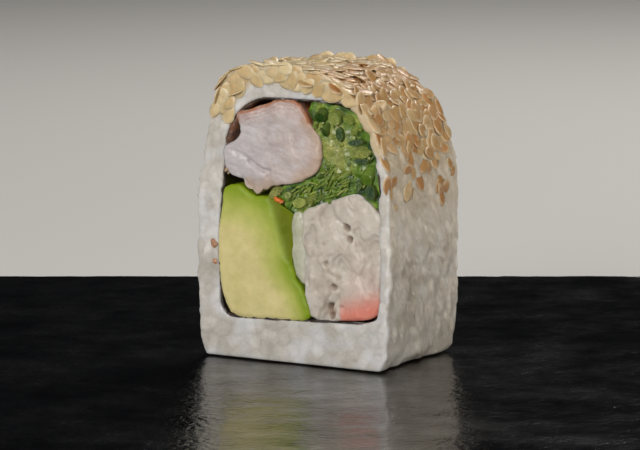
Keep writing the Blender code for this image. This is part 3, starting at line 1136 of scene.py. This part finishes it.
# %% Crab stick shape
CRAB_HOLLOWS = (
    # x, z, radius, depth
    (10.0, 22.7, 0.9, 2.4),
    (10.6, 20.8, 0.8, 2.2),
    (7.6, 12.8, 0.8, 1.9),
    (6.3, 16.6, 0.7, 0.7),
    (7.0, 9.6, 0.9, 2.0),
    (7.3, 8.3, 0.9, 2.0),
    (9.2, 9.8, 0.45, 0.8),
    (8.6, 14.4, 0.6, 0.6),
    (6.0, 19.6, 0.6, 0.5),
)
CRAB_FOLDS = (
    ((8.1, 23.8), (10.2, 22.7), (11.6, 21.3), (12.3, 18.3)),
    ((7.8, 19.8), (6.2, 18.3), (5.3, 17.7)),
    ((6.2, 16.7), (6.6, 15.1), (8.4, 14.4)),
    ((7.4, 12.2), (6.2, 10.6), (6.0, 9.2)),
    ((7.2, 10.0), (8.4, 11.4), (9.9, 10.5), (9.4, 9.2)),
)
CRAB_LOBES = ((2.6, 20.0, 4.0, 0.4), (3.2, 11.0, 4.0, 0.4))
CRAB_MIDDLE = (9.0, 17.0)
CRAB_STEPS = 2.6  # plates for each unit of noise
CRAB_STEP_HEIGHT = 0.42


def carve_crab(v, end, edge, near):
    x, z = v.co.x, v.co.z
    hollow = sum(dent(v, *hollow) for hollow in CRAB_HOLLOWS)
    fold = min(distance_to_line(x, z, line) for line in CRAB_FOLDS)
    spot = Vector((x / 2.6, v.co.y / 6, z / 4.4))
    field = (noise.noise(spot) + 0.35 * noise.noise(spot * 2.3) + 1.5) * CRAB_STEPS
    plate = math.floor(field) + eased(field - math.floor(field), 0.0, 0.4)
    sink = 0.1 + hollow + 0.28 * ridge(fold, 0.3) + 0.10 * waves(v, 1.3, 5)
    sink += CRAB_STEP_HEIGHT * (plate - 1.5 * CRAB_STEPS)
    dye = eased(x + 0.25 * waves(v, 0.6), 8.6, 9.2) * eased(12.4 + 0.3 * (x - 12) - z, -0.5, 4.2)
    blush = eased(x, 8.5, 12) * eased(19 - z, 0, 7)
    # Painted shade: brown round the deep hollows near the foot, and inside every hollow.
    brown = max(0.0, 1 - math.hypot(x - 7.2, z - 8.7) / 1.7)
    return sink, 0.05 * waves(v, 0.6), (dye, blush, min(1.0, brown + 0.45 * hollow))


crab, colours = carved("crab_stick", 0.22, carve_crab, 2, CRAB_LOBES, CRAB_MIDDLE, 0.15)

# %% Crab stick finish
BLUSH, CORAL_DYE, CRAB_HOLLOW_SHADE = (0.70, 0.46, 0.41), (0.80, 0.27, 0.20), (0.26, 0.16, 0.10)
crab_finish, tree, shader, place = new_food(
    "crab_stick", 0.65, (1.0, 0.86, 0.74), 1.8, Roughness=0.38, IOR=1.42
)
dye, blush, brown = attribute(tree, "tone")
body = mottled(tree, place, 0.3, (0.52, 0.455, 0.385), (0.72, 0.665, 0.59))
body = mix(tree, times(tree, blush, 0.4), body, BLUSH)
body = mix(tree, dye, body, CORAL_DYE)
# Painted shade in the hollows, in brown.
body = mix(tree, times(tree, brown, 0.8), body, CRAB_HOLLOW_SHADE)
dress(tree, shader, place, body, 1.8, 0.3)
finish_piece("crab_stick_slice", crab, crab_finish, ["crab_stick"], colours)

# %% [markdown]
# The seaweed salad
#
# Seaweed salad is a tangle of chopped stems and threads in a glossy dressing. A core fills the space: a
# pale, wet, sparkling mash in the middle, darker towards its edges. Over it lie the stems that can be
# told apart, each a short fat piece cut straight across, its rim painted paler round a green middle as a
# painted highlight. Short threads make the fuzzy strip between the prawn and the crab stick.

# %% Stems that can be told apart
STEMS = (
    # x, z, width, height, turn in degrees, how dark, how clear
    (5.2, 40.6, 3.0, 2.1, 35, 0.85, 0.0),
    (4.2, 39.3, 1.4, 1.0, 60, 0.50, 0.3),
    (6.1, 38.4, 1.5, 2.1, -10, 0.80, 0.0),
    (8.0, 40.3, 2.6, 2.7, -20, 0.45, 0.55),
    (10.4, 40.3, 2.3, 1.1, -25, 0.45, 0.4),
    (8.8, 37.5, 1.5, 2.6, 10, 0.85, 0.0),
    (11.8, 36.5, 3.4, 1.2, 8, 0.95, 0.0),
    (12.6, 35.0, 3.8, 1.7, 0, 0.35, 0.7),
    (12.9, 33.6, 3.5, 0.9, 3, 0.95, 0.0),
    (13.8, 31.3, 2.4, 2.7, -25, 0.60, 0.1),
    (14.5, 28.6, 2.1, 2.9, 10, 0.90, 0.0),
    (12.4, 29.4, 1.2, 1.8, -20, 0.80, 0.1),
    (1.5, 26.0, 3.0, 1.9, 15, 0.25, 0.15),
    (3.4, 27.0, 1.3, 1.3, 30, 0.35, 0.7),
    (-0.6, 27.2, 1.5, 1.4, 10, 0.45, 0.7),
    (11.4, 38.6, 1.6, 1.4, 40, 0.50, 0.5),
    (-3.6, 27.5, 1.7, 0.9, -5, 0.10, 1.0),
    (-2.4, 27.9, 0.8, 0.7, 20, 0.10, 1.0),
)


def stem_shape(around, rings):
    """A unit stem along z, with flat ends and eased rims."""
    bm = bmesh.new()
    bmesh.ops.create_uvsphere(bm, u_segments=around, v_segments=rings, radius=0.5)
    for v in bm.verts:
        v.co.z = math.copysign(min(abs(v.co.z) * 1.9, 0.5), v.co.z)
    return as_mesh("stem", bm)


def add_stem(shape, spot, size, turn, lean, dark, clear):
    """Stamps a stem that runs into the roll, oval in the cut face, and colours its rim lighter as a painted
    highlight.
    """
    place = (
        Matrix.Translation(spot)
        @ Matrix.Rotation(lean, 4, "X")
        @ Matrix.Rotation(-turn, 4, "Y")
        @ Matrix.Rotation(math.pi / 2, 4, "X")
        @ Matrix.Diagonal((*size, 1))
    )
    stamp(salad, shape, place)
    for v in shape.vertices:
        colours.append((dark, clear, eased(2 * math.hypot(v.co.x, v.co.y), 0.55, 0.95)))


STEM_LENGTH = 2.6
STEM = stem_shape(16, 10)
THREAD = stem_shape(6, 6)
dice = random.Random(5)
salad = bmesh.new()
colours = []
for side in (-1, 1):
    for x, z, width, height, turn, dark, clear in STEMS:
        spot = Vector((x, side * (CUT - 1.05 - dice.uniform(0, 0.3)), z))
        lean = dice.uniform(-0.2, 0.65) * -side
        add_stem(STEM, spot, (width, height, STEM_LENGTH), math.radians(turn), lean, dark, clear)
print(len(salad.faces), "faces of stems")

# %% Threads and small bits
THREAD_SPACING = 0.55
salad_solid = cad_shape("seaweed_salad")  # named, because its faces are gone once the bmesh is dropped
salad_ends = [f for f in salad_solid.faces if is_cut(f)]
for spot, normal in scattered(salad_ends, THREAD_SPACING, 9000, dice):
    fuzzy = spot.z < 31.8 and spot.x < 10.5
    if dice.random() < (0.1 if fuzzy else 0.82):
        continue
    if fuzzy:
        thick = dice.uniform(0.22, 0.42)
        size = (dice.uniform(1.3, 2.6), thick, thick)
        deep = dice.uniform(0.25, 0.7)
    else:
        size = (dice.uniform(0.5, 1.1), dice.uniform(0.3, 0.6), dice.uniform(1.0, 1.8))
        deep = dice.uniform(0.7, 1.1)
    turn = dice.gauss(0.55, 0.45)
    dark = dice.uniform(0.3, 0.72) if fuzzy else dice.uniform(0.15, 0.85)
    lean = dice.uniform(-0.4, 0.4)
    add_stem(THREAD, spot - normal * deep, size, turn, lean, dark, 0.6 * dice.random() ** 2)
print("salad bits:", len(salad.faces), "faces")

# %% Salad finish
SEAWEED_GREENS = (
    # how dark, colour there
    (0.0, (0.42, 0.43, 0.10)),
    (0.35, (0.27, 0.34, 0.04)),
    (0.6, (0.11, 0.23, 0.012)),
    (0.88, (0.010, 0.05, 0.003)),
)
CLEAR_MASH, RIM_HIGHLIGHT_GREEN, FROTH = (0.32, 0.325, 0.115), (0.34, 0.42, 0.11), (0.60, 0.60, 0.33)
SALAD_GLOSS = {"Roughness": 0.2, "IOR": 1.42, "Coat_Weight": 0.5, "Coat_Roughness": 0.06}
salad_finish, tree, shader, place = new_food("seaweed_salad", 0.12, (0.6, 1.0, 0.3), 0.4, **SALAD_GLOSS)
dark, clear, rim = attribute(tree, "tone")
body = mix(tree, times(tree, clear, 0.75), ramp(tree, dark, SEAWEED_GREENS), CLEAR_MASH)
# Painted highlight: the rim of every stem and thread is paler.
body = mix(tree, times(tree, rim, 0.28), body, RIM_HIGHLIGHT_GREEN)
bubbles = spread(tree, cloudy(tree, place, 3.2), 0.56, 0.70, 0.0, 0.8)
body = mix(tree, times(tree, bubbles, clear), body, FROTH)
body = tinted(tree, body, mottled(tree, place, 1.1, (0.55, 0.64, 0.45), (1.2, 1.15, 1.2)))
dress(tree, shader, place, body, 3.0, 1.0)
finish_piece("seaweed_bits", salad, salad_finish, (), colours, crease=32)

# %% Salad core


def carve_core(v, end, edge, near):
    mash = ridge(math.hypot(v.co.x - 8, (v.co.z - 35) * 0.7), 3.2)
    lumps = 0.35 * waves(v, 1.3) + 0.16 * waves(v, 0.5)
    return 0.75 - 0.3 * mash, lumps, (0.68 - 0.4 * mash + 0.45 * waves(v, 1.4), 0.8 * mash, 0.0)


core, colours = carved("seaweed_salad", 0.22, carve_core, grow=0.4)
finish_piece("seaweed_core", core, salad_finish, ["seaweed_salad"], colours)

# %% [markdown]
# Crumbs
#
# A knife carries small bits from one filling to the next: a bright orange shred beside the avocado, a
# tan crumb by the nori, and two brown and pink flecks on the rice.

# %% Crumb shapes and finish
CRUMBS = (
    # x, z, width, height, turn in degrees, how red, how dark
    (-2.6, 26.3, 1.5, 0.9, -20, 1.0, 0.0),
    (-1.9, 26.0, 0.9, 0.6, 30, 0.8, 0.1),
    (-12.3, 30.6, 0.8, 0.6, 60, 0.0, 0.3),
    (-11.9, 30.1, 0.5, 0.4, 10, 0.0, 0.1),
    (-14.7, 18.4, 1.2, 1.6, 20, 0.30, 0.40),
    (-14.5, 15.4, 0.9, 0.8, -30, 0.40, 0.15),
)
crumbs = bmesh.new()
colours = []
for x, z, width, height, turn, red, dark in CRUMBS:
    on_rice = x < -14
    depth = CUT + 0.05 if on_rice else CUT - 0.25
    lay = (
        Matrix.Translation((x, -depth, z))
        @ Matrix.Rotation(-math.radians(turn), 4, "Y")
        @ Matrix.Diagonal((width, 0.35 if on_rice else 0.8, height, 1))
    )
    made = bmesh.ops.create_icosphere(crumbs, subdivisions=3, radius=0.5, matrix=lay)["verts"]
    for v in made:
        sideways = noise.noise(v.co * 2.2)
        inwards = noise.noise(v.co * 2.2 + Vector((5, 0, 0)))
        v.co += Vector((sideways, inwards, noise.noise(v.co * 1.7))) * 0.18
    colours += [(red, dark, 0.0)] * len(made)
TAN_CRUMB, RED_CRUMB, DARK_CRUMB = (0.55, 0.42, 0.28), (0.82, 0.20, 0.03), (0.22, 0.10, 0.05)
crumb_finish, tree, shader, place = new_food("crumb", 0.3, (1.0, 0.2, 0.1), 0.5, Roughness=0.35)
red, dark, _ = attribute(tree, "tone")
body = mix(tree, dark, mix(tree, red, TAN_CRUMB, RED_CRUMB), DARK_CRUMB)
body = tinted(tree, body, mottled(tree, place, 1.5, (0.75, 0.75, 0.75), (1.15, 1.15, 1.15)))
tree.links.new(body, shader.inputs["Base Color"])
finish_piece("crumbs", crumbs, crumb_finish, (), colours)

# %% [markdown]
# The slate board
#
# Slate splits into sheets, so its faces ripple gently and its sides are broken in small steps. A box is
# divided finely and moved by noise: a little on top, where the roll rests, and more at the sides.
# Wet slate is dark and shiny, with dry, duller patches where the film of water has drawn back.

# %% Slate shape
LAYER = 0.9  # the height of one sheet of the slate
CHIP, FINE_CHIP, EASED_RIM = 0.9, 0.25, 0.5  # how far in the sides are pulled, at most
low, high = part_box("slate_board")
half_side = (high.x - low.x) / 2 / MM
thickness = (high.z - low.z) / MM
slate = bmesh.new()
bmesh.ops.create_cube(slate, size=1)
bmesh.ops.scale(slate, vec=(high - low) / MM, verts=slate.verts[:])
bmesh.ops.translate(slate, vec=(low + high) / 2 / MM, verts=slate.verts[:])
upright = [e for e in slate.edges if abs(e.verts[0].co.z - e.verts[1].co.z) > 1]
bmesh.ops.subdivide_edges(slate, edges=upright, cuts=7)
level = [e for e in slate.edges if abs(e.verts[0].co.z - e.verts[1].co.z) < 0.01]
bmesh.ops.subdivide_edges(slate, edges=level, cuts=139, use_grid_fill=True)
for v in slate.verts:
    x, y, z = v.co
    ripple = noise.fractal(Vector((x / 9, y / 5, 0)), 0.9, 2.1, 4) * 0.10
    if z > thickness - 0.01:
        v.co.z += min(0.0, ripple - 0.12)
    shelf = math.floor(z / LAYER + 1.3 * noise.noise(Vector((x / 14, y / 14, 0)))) * LAYER
    for axis in (0, 1):
        if abs(v.co[axis]) > half_side - 0.01:
            chip = 0.5 + 0.5 * noise.noise(Vector((x / 5, y / 5, shelf * 3.1)))
            fine_chip = 0.5 + 0.5 * noise.noise(Vector((x / 1.2, y / 1.2, z)))
            rim = eased(abs(z - thickness / 2), thickness / 2 - 0.5, thickness / 2)
            pull = CHIP * chip + FINE_CHIP * fine_chip + EASED_RIM * rim
            v.co[axis] = math.copysign(half_side - pull, v.co[axis])
bmesh.ops.transform(slate, matrix=TO_ROLL @ Matrix.Scale(MM, 4), verts=slate.verts[:])

# %% Slate finish
slate_finish, tree, shader = new_material("slate", IOR=1.38, Coat_Roughness=0.12)
place = place_in_mm(tree)
film = cloudy(tree, place, 0.09, 5.0, 0.6)
tree.links.new(spread(tree, film, 0.35, 0.65, 0.0, 0.6), shader.inputs["Coat Weight"])
tree.links.new(spread(tree, film, 0.35, 0.65, 0.14, 0.28), shader.inputs["Roughness"])
body = mottled(tree, place, 0.12, (0.0012, 0.0013, 0.0016), (0.0045, 0.0048, 0.0055))
dress(tree, shader, place, body, 0.8, 1.0)
finish_piece("slate_slab", slate, slate_finish, ["slate_board"])

# %% Sizes and the last check
low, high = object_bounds()
print("visual size in mm:", [round(1000 * s, 1) for s in high - low])
